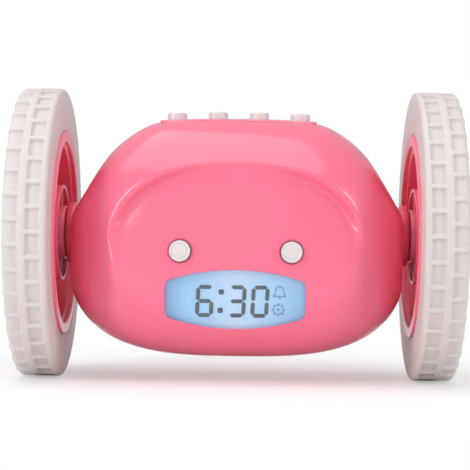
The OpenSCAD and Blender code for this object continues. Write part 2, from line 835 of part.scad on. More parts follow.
module hub_cap(left) {
    cap_r = barrel_r - 1 - slide_gap;
    in_x = web_x + web_t;
    color("hotpink") pair(left) along_x(0) difference() {
        rotate_extrude() polygon([
            [0, in_x + cap_face - 0.4], [cap_r - cap_lip, in_x + cap_edge - 0.4], [cap_r - cap_lip, in_x],
            [cap_r, in_x], [cap_r, in_x + cap_edge], [cap_r - 2, in_x + cap_face], [cap_boss_r + 1, in_x + cap_face],
            [cap_boss_r, in_x + cap_boss - 0.2], [0, in_x + cap_boss]]);
        for (i = [0:4])
            rotate(90 + i * 72) translate([cap_pocket_at, -cap_pocket[1] / 2, in_x + cap_face - 0.4])
                cube([cap_pocket[0], cap_pocket[1], far]);
    }
}

module wheel_screw(left) {
    color("silver") pair(left) {
        along_x(web_x + web_t) cylinder(r = wheel_head_r, h = wheel_head_t);
        along_x(web_x + web_t - wheel_screw_l) cylinder(r = screw_r, h = wheel_screw_l);
    }
}

front_shell();
rear_shell();
top_panel();
battery_door();
battery_door_screw();
housing_screws();
axle_bush(true);  // axle_bush_left
axle_bush(false);  // axle_bush_right
lcd_window();
lcd_holder();
lcd_glass();
lcd_backlight();
lcd_connector();
display_board();
eye_switches();
top_board();
top_switches();
main_board();
board_chips();
speaker();
speaker_ring();
battery_tray();
batteries();
battery_contacts();
gearbox_case(true);  // gearbox_case_left
gearbox_case(false);  // gearbox_case_right
gearbox_cover(true);  // gearbox_cover_left
gearbox_cover(false);  // gearbox_cover_right
gearbox_screws();
motor(true);  // motor_left
motor(false);  // motor_right
motor_shaft(true);  // motor_shaft_left
motor_shaft(false);  // motor_shaft_right
pinion(true);  // pinion_left
pinion(false);  // pinion_right
gear_1(true);  // gear_1_left
gear_1(false);  // gear_1_right
gear_2(true);  // gear_2_left
gear_2(false);  // gear_2_right
gear_pins();
output_gear(true);  // output_gear_left
output_gear(false);  // output_gear_right
axle(true);  // axle_left
axle(false);  // axle_right
wheel_rim(true);  // wheel_rim_left
wheel_rim(false);  // wheel_rim_right
tyre(true);  // tyre_left
tyre(false);  // tyre_right
hub_cap(true);  // hub_cap_left
hub_cap(false);  // hub_cap_right
wheel_screw(true);  // wheel_screw_left
wheel_screw(false);  // wheel_screw_right
top_button(0);  // top_button_1
top_button(1);  // top_button_2
top_button(2);  // top_button_3
top_button(3);  // top_button_4
eye_button(true);  // eye_button_left
eye_button(false);  // eye_button_right
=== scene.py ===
"""Runaway alarm clock: the visible model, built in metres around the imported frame.

Lengths in this script are millimetres until mesh_object() turns them into metres.
The front faces -Y, the wheels turn about X, and Z = 0 is the ground.
"""
import json
import math

import bmesh
import bpy
import numpy as np
from mathutils import Matrix, Vector
from mathutils.bvhtree import BVHTree


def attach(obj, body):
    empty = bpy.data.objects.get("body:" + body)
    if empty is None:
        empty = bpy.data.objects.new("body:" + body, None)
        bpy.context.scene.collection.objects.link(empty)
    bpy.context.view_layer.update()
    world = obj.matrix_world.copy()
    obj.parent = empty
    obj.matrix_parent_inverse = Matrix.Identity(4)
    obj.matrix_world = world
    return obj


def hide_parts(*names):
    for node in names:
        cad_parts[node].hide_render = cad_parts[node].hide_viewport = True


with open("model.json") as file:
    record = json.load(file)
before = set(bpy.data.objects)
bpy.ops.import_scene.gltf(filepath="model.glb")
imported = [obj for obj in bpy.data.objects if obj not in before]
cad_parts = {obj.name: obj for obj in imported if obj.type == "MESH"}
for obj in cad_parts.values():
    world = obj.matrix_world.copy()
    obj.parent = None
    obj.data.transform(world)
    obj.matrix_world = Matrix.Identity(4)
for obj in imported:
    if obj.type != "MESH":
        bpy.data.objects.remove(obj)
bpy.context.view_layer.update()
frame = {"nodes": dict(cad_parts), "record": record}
MM = 0.001

# ---------- driving dimensions, the same as the solid model's ----------
WHEEL_R = 44.5
AXLE_Z = WHEEL_R
OUTER_X = 66.5
BODY_HALF_W = 52.5
CHEEK_X = BODY_HALF_W - 2.5
CROWN_H, DECK_H, BELLY_H, REACH, CHIN = 41.5, 35.4, 37.6, 37.0, 3.2
DECK_R, SHOULDER_X, SHOULDER_SLOPE, SHOULDER_K = 450.0, 34.0, 1.605, 11.5
DECK_FLAT_Y, DECK_FALL = 4.0, 48.0
FACE_Y, FACE_Z, FACE_RISE, FACE_HALF_W = 33.6, -4.5, 26.0, 38.0
FACE_R, FACE_FOOT, FACE_FOOT_Z = 230.0, 0.0022, -6.0
BROW_CUT, BROW_FADE, BROW_LEDGE, BROW_SIDE_Z, BROW_N = 5.0, 10.0, 2.6, 8.0, 2.2
WALL = 2.2
SLIDE_GAP = 0.2
WINDOW_W, WINDOW_H, WINDOW_DROP = 41.0, 17.3, 19.0
WINDOW_Y, WINDOW_TILT = 32.7, 11.0
WINDOW_INSET, WINDOW_T = 0.4, 1.2
LENS_END, LENS_CORNER = 0.60, 0.36
GLASS_DEPTH = 3.5
EYE_X, EYE_DROP, EYE_D, EYE_Y, EYE_RISE = 16.2, 5.0, 6.2, 32.8, 1.8
KEY_PITCH, KEY_Y, KEY_D, KEY_RISE = 12.6, -4.0, 6.0, 2.1
KEY_FOOT_Z = 30.8        # all four stems end just over the switches, at this height above the axle
PANEL_W, PANEL_L, PANEL_T, PANEL_CORNER = 48.0, 22.0, 1.6, 4.0
DOOR_W, DOOR_H, DOOR_DIR, DOOR_CORNER = 56.0, 56.0, -38.0, 5.0
SPEAKER_DIR, SOUND_HOLE_R, SOUND_PITCH = 50.0, 0.8, 3.2
POSTS = ((30.0, 22.0), (45.0, -14.0))
POST_HEAD_R, POST_SEAT = 1.9, 7.0
DOOR_SCREW_Y, DOOR_SEAT, DOOR_HEAD_R = -25.0, 24.6, 1.7
LIP_R = 0.35


# ---------- small geometry helpers ----------
def smooth_min(a, b, k):
    h = np.maximum(k - np.abs(a - b), 0) / k
    return np.minimum(a, b) - h * h * k / 4


def ease(t):
    c = np.clip(t, 0, 1)
    return c * c * (3 - 2 * c)


def shoulder(x, d):
    """Drop of the crown towards the cheeks, with an even wall when it is lowered by d."""
    low = SHOULDER_SLOPE * (np.abs(x) - SHOULDER_X) + d * (math.sqrt(1 + SHOULDER_SLOPE ** 2) - 1)
    h = np.maximum(SHOULDER_K - np.abs(low), 0) / SHOULDER_K
    return np.maximum(low, 0) + h * h * SHOULDER_K / 4


def deck(x, d=0.0, y=0.0):
    """Height of the crown above the axle, which also falls a little to the front and the rear."""
    fall = np.maximum(np.abs(y) - DECK_FLAT_Y, 0) ** 2 / DECK_FALL
    return DECK_H - d - x * x / (2 * DECK_R) - shoulder(x, d) - fall


def inside_face(x, z):
    """How far inside the arched brow a point of the face lies."""
    rim = (np.abs(x) / FACE_HALF_W) ** BROW_N + (np.maximum(z - FACE_Z, 0) / FACE_RISE) ** BROW_N
    return FACE_RISE * np.maximum(0, 1 - rim ** (1 / BROW_N))


def face_in(x, z, below):
    """How far forward the scooped face reaches at x and z."""
    scoop = BROW_CUT * np.exp(-below / BROW_FADE) * ease((z + BROW_SIDE_Z) / (2 * BROW_SIDE_Z))
    return FACE_Y - scoop + FACE_FOOT * np.minimum(z - FACE_FOOT_Z, 0) ** 2 - x * x / (2 * FACE_R)


def section_r(x, a, d, front):
    """Radius of the housing's section at x, at an angle a above the front or the rear."""
    up = np.maximum(np.sin(a), 0) ** 2
    down = np.maximum(-np.sin(a), 0) ** 2
    reach = REACH - d + (CROWN_H - REACH) * up + (BELLY_H - REACH) * down
    if front:
        reach = reach + CHIN * np.maximum(0, -np.sin(2 * a)) ** 2
    full = 2.5 - 0.7 * up + 0.55 * down
    return reach * np.maximum(0, 1 - np.power(np.abs(x) / (BODY_HALF_W - d), full)) ** (1 / full)


def skin_points(x, a, d, front):
    """Points of the housing's skin, d below the outside, as an array of x, y, z above the ground."""
    r = section_r(x, a, d, front)
    y = r * np.cos(a)
    z = smooth_min(r * np.sin(a), deck(x, d, y), 3.0)
    if front:
        below = inside_face(x, z)
        cut = smooth_min(y, face_in(x, z, below) - d, 1.5 + below * 0.12)
        y = -np.where(y > 1, y + (cut - y) * ease(below / BROW_LEDGE), y)
    return np.stack([np.broadcast_to(x, y.shape), y, z + AXLE_Z], axis=-1)


def mesh_object(name, verts, faces, smooth=True, sharp=None):
    """A new object from millimetre points. sharp is the angle in degrees above which an edge stays hard."""
    me = bpy.data.meshes.new(name)
    me.from_pydata([tuple(float(c) * MM for c in v) for v in verts], [], [tuple(f) for f in faces])
    me.validate()
    ob = bpy.data.objects.new(name, me)
    bpy.context.scene.collection.objects.link(ob)
    clean(ob, smooth, sharp)
    return ob


def clean(ob, smooth=True, sharp=None):
    """Outward normals, welded points and the shading of an object's mesh."""
    bm = bmesh.new()
    bm.from_mesh(ob.data)
    bmesh.ops.remove_doubles(bm, verts=bm.verts, dist=1e-7)
    bmesh.ops.recalc_face_normals(bm, faces=bm.faces)
    for f in bm.faces:
        f.smooth = smooth
    if sharp is not None:
        limit = math.radians(sharp)
        for e in bm.edges:
            if len(e.link_faces) == 2 and e.calc_face_angle(0) > limit:
                e.smooth = False
    bm.to_mesh(ob.data)
    bm.free()


def join(name, parts):
    """One object from several, whose meshes are already in place."""
    bm = bmesh.new()
    for ob in parts:
        bm.from_mesh(ob.data)
    me = bpy.data.meshes.new(name)
    bm.to_mesh(me)
    bm.free()
    for ob in parts:
        bpy.data.objects.remove(ob)
    out = bpy.data.objects.new(name, me)
    bpy.context.scene.collection.objects.link(out)
    return out


def cut_away(ob, cutters, operation="DIFFERENCE"):
    """Applies exact booleans to an object's mesh and removes the cutters."""
    for cutter in cutters:
        mod = ob.modifiers.new("cut", "BOOLEAN")
        mod.operation = operation
        mod.solver = "EXACT"
        mod.object = cutter
    bpy.context.view_layer.update()
    done = ob.evaluated_get(bpy.context.evaluated_depsgraph_get())
    me = bpy.data.meshes.new_from_object(done)
    ob.modifiers.clear()
    old = ob.data
    ob.data = me
    bpy.data.meshes.remove(old)
    for cutter in cutters:
        bpy.data.objects.remove(cutter)


def arc_points(cx, cy, r, a0, a1, n):
    return [(cx + r * math.cos(math.radians(a0 + (a1 - a0) * i / n)),
             cy + r * math.sin(math.radians(a0 + (a1 - a0) * i / n))) for i in range(n + 1)]


def rounded(points, radius, steps=4, closed=True):
    """A polygon with its corners rounded. radius is one number or one for each corner."""
    n = len(points)
    radii = radius if isinstance(radius, (list, tuple)) else [radius] * n
    out = []
    for i, p in enumerate(points):
        p = Vector(p)
        if not closed and i in (0, n - 1) or radii[i] <= 0:
            out.append(tuple(p))
            continue
        u = Vector(points[i - 1]) - p
        v = Vector(points[(i + 1) % n]) - p
        half = u.angle(v) / 2
        back = min(radii[i] / math.tan(half), u.length * 0.49, v.length * 0.49)
        r = back * math.tan(half)
        a, b = p + u.normalized() * back, p + v.normalized() * back
        centre = p + (u.normalized() + v.normalized()).normalized() * (r / math.sin(half))
        a0 = math.atan2(a.y - centre.y, a.x - centre.x)
        turn = (math.atan2(b.y - centre.y, b.x - centre.x) - a0 + math.pi) % (2 * math.pi) - math.pi
        out += [(centre.x + r * math.cos(a0 + turn * k / steps), centre.y + r * math.sin(a0 + turn * k / steps))
                for k in range(steps + 1)]
    return out


def revolve(name, profile, place, steps=96, closed=True, sharp=50):
    """Turns a profile of (radius, height) round the local Z axis and puts it in place."""
    n = len(profile)
    verts = []
    for i in range(steps):
        c, s = math.cos(2 * math.pi * i / steps), math.sin(2 * math.pi * i / steps)
        verts += [place @ Vector((max(r, 0) * c, max(r, 0) * s, h)) for r, h in profile]
    faces = []
    for i in range(steps):
        a, b = i * n, (i + 1) % steps * n
        for j in range(n if closed else n - 1):
            k = (j + 1) % n
            faces.append((a + j, b + j, b + k, a + k))
    return mesh_object(name, verts, faces, sharp=sharp)


def prism(name, outline, place, z0, z1):
    """A straight solid on a local XY outline."""
    n = len(outline)
    verts = [place @ Vector((x, y, z)) for z in (z0, z1) for x, y in outline]
    faces = [tuple(range(n))[::-1], tuple(range(n, 2 * n))]
    faces += [(i, (i + 1) % n, (i + 1) % n + n, i + n) for i in range(n)]
    return mesh_object(name, verts, faces, smooth=False)


def at_axle(x=0.0, y=0.0, z=0.0):
    return Matrix.Translation((x, y, z + AXLE_Z))


def facing_rear(angle):
    """Local +Z points out of the housing at an angle above the rear."""
    return at_axle() @ Matrix.Rotation(math.radians(angle - 90), 4, "X")


FACING_FRONT = Matrix.Rotation(math.radians(90), 4, "X")
FACING_WINDOW = at_axle(0, -WINDOW_Y, -WINDOW_DROP) @ Matrix.Rotation(math.radians(90 + WINDOW_TILT), 4, "X")


def side_frame(left):
    """Local Z runs outwards along the axle from the middle of the clock."""
    turn = Matrix.Rotation(math.radians(90), 4, "Z") @ Matrix.Rotation(math.radians(90), 4, "X")
    flip = Matrix.Diagonal((-1, 1, 1, 1)) if left else Matrix.Identity(4)
    return at_axle() @ flip @ turn


def round_rect(w, h, r, steps=8):
    pts = []
    for cx, cy, a in ((1, 1, 0), (-1, 1, 90), (-1, -1, 180), (1, -1, 270)):
        pts += arc_points(cx * (w / 2 - r), cy * (h / 2 - r), r, a, a + 90, steps)
    return pts


def circle(r, n=48):
    return [(r * math.cos(2 * math.pi * i / n), r * math.sin(2 * math.pi * i / n)) for i in range(n)]


def lens(w, h, steps=60):
    """Two shallow arcs above and below, whose ends run into large rounded corners."""
    rise = h / 2 * (1 - LENS_END)
    arc_r = (w * w / 4 + rise * rise) / (2 * rise)
    corner = h * LENS_CORNER
    out = []
    for i in range(4 * steps):
        a = 2 * math.pi * i / (4 * steps)
        low, high = 0.0, w
        for _ in range(40):
            mid = (low + high) / 2
            x, y = abs(mid * math.cos(a)), abs(mid * math.sin(a))
            dx, dy = max(x - w / 2 + corner, 0), max(y - h / 2 + corner, 0)
            inside = math.hypot(dx, dy) < corner and math.hypot(x, y + arc_r - h / 2) < arc_r
            low, high = (mid, high) if inside else (low, mid)
        out.append((low * math.cos(a), low * math.sin(a)))
    return out


def grow(outline, by):
    """The outline moved outwards by a distance, point for point."""
    n = len(outline)
    out = []
    for i, p in enumerate(outline):
        t = Vector(outline[(i + 1) % n]) - Vector(outline[i - 1])
        t.normalize()
        out.append((p[0] + t.y * by, p[1] - t.x * by))
    return out


# ---------- materials ----------
def node_material(name):
    mat = bpy.data.materials.new(name)
    mat.use_nodes = True
    nodes = mat.node_tree.nodes
    return mat, nodes, mat.node_tree.links, nodes["Principled BSDF"]


def finish_surface(name, color, rough, spread=0.04, tint=0.03, bump=0.02, scale=900.0, coat=0.0, metal=0.0,
                   sheen=0.0):
    """A moulded or turned surface: slight mottling of colour and gloss, and a fine uneven skin."""
    mat, nodes, links, shader = node_material(name)
    where = nodes.new("ShaderNodeNewGeometry")
    broad = nodes.new("ShaderNodeTexNoise")
    broad.inputs["Scale"].default_value = scale / 12
    broad.inputs["Detail"].default_value = 3
    fine = nodes.new("ShaderNodeTexNoise")
    fine.inputs["Scale"].default_value = scale
    fine.inputs["Detail"].default_value = 4
    links.new(where.outputs["Position"], broad.inputs["Vector"])
    links.new(where.outputs["Position"], fine.inputs["Vector"])
    mix = nodes.new("ShaderNodeMix")
    mix.data_type = "RGBA"
    mix.inputs["A"].default_value = (*[min(c * (1 + tint), 1) for c in color], 1)
    mix.inputs["B"].default_value = (*[c * (1 - tint) for c in color], 1)
    links.new(broad.outputs["Fac"], mix.inputs["Factor"])
    links.new(mix.outputs["Result"], shader.inputs["Base Color"])
    gloss = nodes.new("ShaderNodeMapRange")
    gloss.inputs["To Min"].default_value = max(rough - spread, 0.02)
    gloss.inputs["To Max"].default_value = rough + spread
    links.new(fine.outputs["Fac"], gloss.inputs["Value"])
    links.new(gloss.outputs["Result"], shader.inputs["Roughness"])
    relief = nodes.new("ShaderNodeBump")
    relief.inputs["Strength"].default_value = bump
    relief.inputs["Distance"].default_value = 0.0002
    links.new(fine.outputs["Fac"], relief.inputs["Height"])
    links.new(relief.outputs["Normal"], shader.inputs["Normal"])
    shader.inputs["Metallic"].default_value = metal
    shader.inputs["Coat Weight"].default_value = coat
    shader.inputs["Coat Roughness"].default_value = 0.06
    shader.inputs["Sheen Weight"].default_value = sheen
    return mat


MATS = {
    "pink_shell": finish_surface("pink_shell", (0.89, 0.15, 0.25), 0.24, 0.03, 0.02, 0.015, 700, coat=0.35),
    "pink_panel": finish_surface("pink_panel", (0.90, 0.18, 0.285), 0.25, 0.03, 0.02, 0.008, 700, coat=0.35),
    "red_collar": finish_surface("red_collar", (0.90, 0.10, 0.17), 0.25, 0.04, 0.03, 0.02, 900, coat=0.2),
    "pink_rim": finish_surface("pink_rim", (0.95, 0.17, 0.27), 0.26, 0.04, 0.03, 0.02, 800, coat=0.2),
    "white_tyre": finish_surface("white_tyre", (0.64, 0.585, 0.56), 0.5, 0.08, 0.025, 0.12, 1500, sheen=0.1),
    "white_button": finish_surface("white_button", (0.68, 0.62, 0.61), 0.33, 0.04, 0.015, 0.03, 1200, coat=0.2),
    "light_guide": finish_surface("light_guide", (0.80, 0.90, 0.95), 0.35),
    "grey_plastic": finish_surface("grey_plastic", (0.30, 0.30, 0.31), 0.45, bump=0.06),
    "elastomer": finish_surface("elastomer", (0.03, 0.03, 0.035), 0.6),
    "circuit_board": finish_surface("circuit_board", (0.02, 0.12, 0.05), 0.35, tint=0.15),
    "black_plastic": finish_surface("black_plastic", (0.02, 0.02, 0.022), 0.4, bump=0.06),
    "steel": finish_surface("steel", (0.55, 0.55, 0.56), 0.28, 0.08, 0.05, 0.03, 1500, metal=1.0),
    "cell_wrap": finish_surface("cell_wrap", (0.08, 0.10, 0.12), 0.3, metal=0.3),
    "motor_steel": finish_surface("motor_steel", (0.5, 0.5, 0.51), 0.3, metal=1.0),
    "white_gear": finish_surface("white_gear", (0.80, 0.79, 0.75), 0.4),
    "brass": finish_surface("brass", (0.70, 0.48, 0.15), 0.28, metal=1.0),
}


def clear_window_material():
    """A clear moulded pane: see-through, with a sharp surface gloss."""
    mat, nodes, links, shader = node_material("window")
    shader.inputs["Base Color"].default_value = (0.85, 0.95, 1.0, 1)
    shader.inputs["Alpha"].default_value = 0.05
    noise = nodes.new("ShaderNodeTexNoise")
    noise.inputs["Scale"].default_value = 400
    spread = nodes.new("ShaderNodeMapRange")
    spread.inputs["To Min"].default_value = 0.03
    spread.inputs["To Max"].default_value = 0.09
    links.new(noise.outputs["Fac"], spread.inputs["Value"])
    links.new(spread.outputs["Result"], shader.inputs["Roughness"])
    shader.inputs["IOR"].default_value = 1.45
    return mat


def display_material():
    """The lit display: pale in the middle, light blue towards both ends, with the cell's fine grain."""
    mat, nodes, links, shader = node_material("lcd_glass")
    where = nodes.new("ShaderNodeNewGeometry")
    split = nodes.new("ShaderNodeSeparateXYZ")
    links.new(where.outputs["Position"], split.inputs["Vector"])
    ramp_in = nodes.new("ShaderNodeMapRange")
    ramp_in.inputs["From Min"].default_value = -WINDOW_W / 2 * MM
    ramp_in.inputs["From Max"].default_value = WINDOW_W / 2 * MM
    links.new(split.outputs["X"], ramp_in.inputs["Value"])
    ramp = nodes.new("ShaderNodeValToRGB")
    stops = ((0.0, (0.20, 0.47, 0.76)), (0.22, (0.27, 0.53, 0.79)), (0.5, (0.44, 0.61, 0.80)),
             (0.78, (0.29, 0.55, 0.79)), (1.0, (0.22, 0.49, 0.76)))
    ramp.color_ramp.elements[0].position = stops[0][0]
    ramp.color_ramp.elements[0].color = (*stops[0][1], 1)
    ramp.color_ramp.elements[1].position = stops[-1][0]
    ramp.color_ramp.elements[1].color = (*stops[-1][1], 1)
    for at, col in stops[1:-1]:
        ramp.color_ramp.elements.new(at).color = (*col, 1)
    links.new(ramp_in.outputs["Result"], ramp.inputs["Fac"])
    grain = nodes.new("ShaderNodeTexNoise")
    grain.inputs["Scale"].default_value = 1200
    links.new(where.outputs["Position"], grain.inputs["Vector"])
    mix = nodes.new("ShaderNodeMix")
    mix.data_type = "RGBA"
    mix.blend_type = "MULTIPLY"
    mix.inputs["Factor"].default_value = 0.06
    links.new(ramp.outputs["Color"], mix.inputs["A"])
    links.new(grain.outputs["Color"], mix.inputs["B"])
    links.new(mix.outputs["Result"], shader.inputs["Base Color"])
    links.new(mix.outputs["Result"], shader.inputs["Emission Color"])
    shader.inputs["Emission Strength"].default_value = 0.14
    shader.inputs["Roughness"].default_value = 0.35
    return mat


MATS["window"] = clear_window_material()
MATS["lcd_glass"] = display_material()
MATS["segment"] = finish_surface("segment", (0.012, 0.035, 0.045), 0.45)
MATS["faint_segment"] = finish_surface("faint_segment", (0.13, 0.30, 0.45), 0.45)

for part in frame["record"]["subparts"]:
    node_ob = frame["nodes"][part["node"]]
    node_ob.data.materials.clear()
    node_ob.data.materials.append(MATS[part["material_slot"]])


def dress(ob, mat, body, slot, *replaced):
    """Gives a piece its material and the body it rides on, and hides the nodes it stands for. slot is not used."""
    ob.data.materials.clear()
    ob.data.materials.append(MATS[mat])
    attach(ob, body)
    if replaced:
        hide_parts(*replaced)
    return ob


# ---------- housing ----------
def skin_rings(front, d, rings, steps, edge):
    """Rings of skin points from cheek to cheek, with a fine round-over of radius edge at the parting line."""
    xs = (CHEEK_X - d) * np.sin(np.linspace(-math.pi / 2, math.pi / 2, rings + 1))
    ends = [math.degrees(v / REACH) for v in (0.0, 0.04, 0.09, 0.16, 0.28)]
    angles = np.radians(np.array([90 - e for e in ends] + list(np.linspace(88.6, -88.6, steps - 1))
                                 + [-90 + e for e in reversed(ends)]))
    pts = skin_points(xs[:, None], angles[None, :], d, front)
    if not front:
        pts[..., 1] = np.abs(pts[..., 1])
    if edge:
        left = np.maximum(edge - np.abs(pts[..., 1]), 0)
        out = pts - np.array([0, 0, AXLE_Z])
        out[..., 0] = 0
        out /= np.maximum(np.linalg.norm(out, axis=-1, keepdims=True), 1e-9)
        pts = pts - out * (edge - np.sqrt(edge * edge - left * left))[..., None]
    return pts


def half_shell(name, front, d, t, rings, steps):
    """Half of the housing as a closed shell of thickness t, its rim on the parting plane."""
    outer = skin_rings(front, d, rings, steps, 0.22)
    inner = skin_rings(front, d + t, rings, steps, 0)
    n, per = outer.shape[0], outer.shape[1]
    total = n * per
    faces = []
    for i in range(n - 1):
        for j in range(per - 1):
            a, b = i * per + j, (i + 1) * per + j
            faces.append((a, a + 1, b + 1, b))
            faces.append((total + a, total + b, total + b + 1, total + a + 1))
        for j in (0, per - 1):
            a, b = i * per + j, (i + 1) * per + j
            faces.append((a, b, total + b, total + a))
    for i in (0, n - 1):
        faces.append(tuple(i * per + j for j in range(per)))
        faces.append(tuple(total + i * per + j for j in range(per)))
        faces.append((i * per, i * per + per - 1, total + i * per + per - 1, total + i * per))
    return mesh_object(name, np.concatenate([outer, inner]).reshape(-1, 3), faces, sharp=60)


def tree_of(ob):
    bm = bmesh.new()
    bm.from_mesh(ob.data)
    tree = BVHTree.FromBMesh(bm)
    bm.free()
    return tree


def touch(tree, place, x, y, reach=90.0):
    """Where a line along the local Z axis first meets the skin, from outside, in millimetres."""
    start = place @ Vector((x, y, reach))
    along = (place.to_3x3() @ Vector((0, 0, -1))).normalized()
    hit = tree.ray_cast(start * MM, along)[0]
    return None if hit is None else hit / MM


def lip(name, outline, place, tree, r=LIP_R, depth=WALL, rings=5, plate=False):
    """A closed band that rounds the skin over into a hole, or over the edge of a plate, and its wall below."""
    inward = (place.to_3x3() @ Vector((0, 0, -1))).normalized()
    away = -r if plate else r
    loops = []
    for k in range(rings + 1):
        a = math.radians(90 * k / rings)
        ring = grow(outline, away * (1 - math.sin(a)))
        loops.append([touch(tree, place, x, y) + inward * (r * (1 - math.cos(a))) for x, y in ring])
    loops.append([p + inward * (depth - r) for p in loops[-1]])
    loops.append([p + inward * depth for p in loops[0]])
    n, m = len(outline), len(loops)
    faces = [(k * n + i, k * n + (i + 1) % n, (k + 1) % m * n + (i + 1) % n, (k + 1) % m * n + i)
             for k in range(m) for i in range(n)]
    return mesh_object(name, [p for ring in loops for p in ring], faces, sharp=80)


def key_places():
    return [((i - 1.5) * KEY_PITCH, KEY_Y) for i in range(4)]


def on_deck(x=0.0, y=0.0):
    return at_axle(x, y, 0)


skin_front = half_shell("front_skin", True, 0, WALL, 160, 140)
skin_rear = half_shell("rear_skin", False, 0, WALL, 130, 110)
front_tree = tree_of(skin_front)
rear_tree = tree_of(skin_rear)
window_outline = lens(WINDOW_W, WINDOW_H)
window_place = at_axle(0, 0, -WINDOW_DROP) @ FACING_FRONT
eye_places = [at_axle(s * EYE_X, 0, -EYE_DROP) @ FACING_FRONT for s in (-1, 1)]
eye_hole = circle(EYE_D / 2 + SLIDE_GAP)
panel_hole = round_rect(PANEL_W + 2 * SLIDE_GAP, PANEL_L + 2 * SLIDE_GAP, PANEL_CORNER + SLIDE_GAP)
door_place = facing_rear(DOOR_DIR)
door_hole = round_rect(DOOR_W, DOOR_H, DOOR_CORNER)


def deck_slab(name, low, high, nx=72, ny=40):
    """A closed solid between two heights over the curved deck, somewhat larger than the panel."""
    xs = np.linspace(-PANEL_W / 2 - 3, PANEL_W / 2 + 3, nx)
    ys = np.linspace(-PANEL_L / 2 - 3, PANEL_L / 2 + 3, ny)
    verts = [(x, y, float(deck(x, 0, y)) + h + AXLE_Z) for h in (low, high) for x in xs for y in ys]
    top = nx * ny
    cells = [(i * ny + j, (i + 1) * ny + j, (i + 1) * ny + j + 1, i * ny + j + 1)
             for i in range(nx - 1) for j in range(ny - 1)]
    faces = [c[::-1] for c in cells] + [tuple(v + top for v in c) for c in cells]
    rim = [i * ny for i in range(nx)] + [(nx - 1) * ny + j for j in range(1, ny)]
    rim += [i * ny + ny - 1 for i in range(nx - 2, -1, -1)] + list(range(ny - 2, 0, -1))
    faces += [(a, b, b + top, a + top) for a, b in zip(rim, rim[1:] + rim[:1])]
    return mesh_object(name, verts, faces)


def recess_cutter(name):
    """The panel's recess: an upright prism whose floor follows the curved deck, PANEL_T below it."""
    base = deck_slab(name, -PANEL_T, 12)
    cut_away(base, [prism("upright", grow(panel_hole, LIP_R), on_deck(), 10, 58)], "INTERSECT")
    return base


def shell_cutters(front):
    """Everything that is taken out of one half of the housing."""
    cutters = [recess_cutter("recess")]
    for x, y in key_places():
        cutters.append(prism("key_cut", [(x + p[0], y + p[1]) for p in circle(KEY_D / 2 + SLIDE_GAP, 32)],
                             on_deck(), 25, 60))
    across = at_axle() @ Matrix.Rotation(math.radians(90), 4, "Y")
    cutters.append(prism("bush_cut", circle(4.55, 32), across, -80, 80))
    return cutters


front_cutters = shell_cutters(True)
front_cutters.append(prism("window_cut", grow(window_outline, LIP_R), window_place, 5, 80))
front_cutters += [prism("eye_cut", grow(eye_hole, LIP_R), p, 5, 80) for p in eye_places]
cut_away(skin_front, front_cutters)
clean(skin_front, True, 35)
front_lips = [lip("window_lip", window_outline, window_place, front_tree)]
front_lips += [lip("eye_lip", eye_hole, p, front_tree, 0.25) for p in eye_places]
front_piece = join("front_shell_skin", [skin_front] + front_lips)
dress(front_piece, "pink_shell", "housing", "pink_shell", "front_shell")


def sound_places():
    spots = [(0.0, 0.0)]
    for ring in (1, 2):
        spots += [(ring * SOUND_PITCH * math.cos(math.radians(i * 60 / ring)),
                   ring * SOUND_PITCH * math.sin(math.radians(i * 60 / ring))) for i in range(6 * ring)]
    return spots


speaker_place = facing_rear(SPEAKER_DIR)
rear_cutters = shell_cutters(False)
rear_cutters.append(prism("door_cut", grow(door_hole, LIP_R), door_place, 5, 80))
for sx, sy in sound_places():
    rear_cutters.append(prism("sound_cut", [(sx + p[0], sy + p[1]) for p in circle(SOUND_HOLE_R, 24)],
                              speaker_place, 20, 80))
post_places = [at_axle(s * px, 0, pz) @ Matrix.Rotation(math.radians(-90), 4, "X")
               for s in (-1, 1) for px, pz in POSTS]
screw_hole = circle(POST_HEAD_R + SLIDE_GAP, 32)
cut_away(skin_rear, rear_cutters)
for place in post_places:
    cut_away(skin_rear, [prism("post_cut", grow(screw_hole, 0.2), place, POST_SEAT, 80)])
clean(skin_rear, True, 35)
rear_lips = [lip("door_lip", door_hole, door_place, rear_tree)]
for place in post_places:
    rear_lips.append(lip("post_lip", screw_hole, place, rear_tree, 0.2, 6.0, 3))
rear_piece = join("rear_shell_skin", [skin_rear] + rear_lips)
dress(rear_piece, "pink_shell", "housing", "pink_shell", "rear_shell")

# The rounded edge of the panel's recess runs over both shells
both = join("both_skins", [half_shell("a", True, 0, WALL, 160, 140), half_shell("b", False, 0, WALL, 130, 110)])
panel_lip = lip("panel_lip", panel_hole, on_deck(), tree_of(both), LIP_R, PANEL_T)
dress(panel_lip, "pink_shell", "housing", "pink_shell")
bpy.data.objects.remove(both)


def plate_from_skin(name, outline, place, front, d, t, r=LIP_R):
    """A cover cut out of the housing's own skin, with a rounded edge all round."""
    body = half_shell(name, front, d, t, 130, 110)
    tree = tree_of(body)
    edge = lip(name + "_edge", outline, place, tree, r, t, 5, True)
    cut_away(body, [prism("blank", grow(outline, -r), place, 2, 90)], "INTERSECT")
    clean(body, True, 35)
    return [body, edge], tree


# ---------- battery door ----------
door_outline = round_rect(DOOR_W - 2 * SLIDE_GAP, DOOR_H - 2 * SLIDE_GAP, DOOR_CORNER)
door_parts, door_tree = plate_from_skin("battery_door_skin", door_outline, door_place, False, 0, WALL)
door_screw = door_place @ Matrix.Translation((0, DOOR_SCREW_Y, 0))
cut_away(door_parts[0], [prism("door_screw_cut", circle(DOOR_HEAD_R + 0.3, 32), door_screw, DOOR_SEAT - 8, 90)])
clean(door_parts[0], True, 35)
door_parts.append(lip("door_screw_lip", circle(DOOR_HEAD_R + 0.1, 40), door_screw, door_tree, 0.2, 3.2, 3))
dress(join("battery_door_skin", door_parts), "pink_shell", "battery_door", "pink_shell", "battery_door")


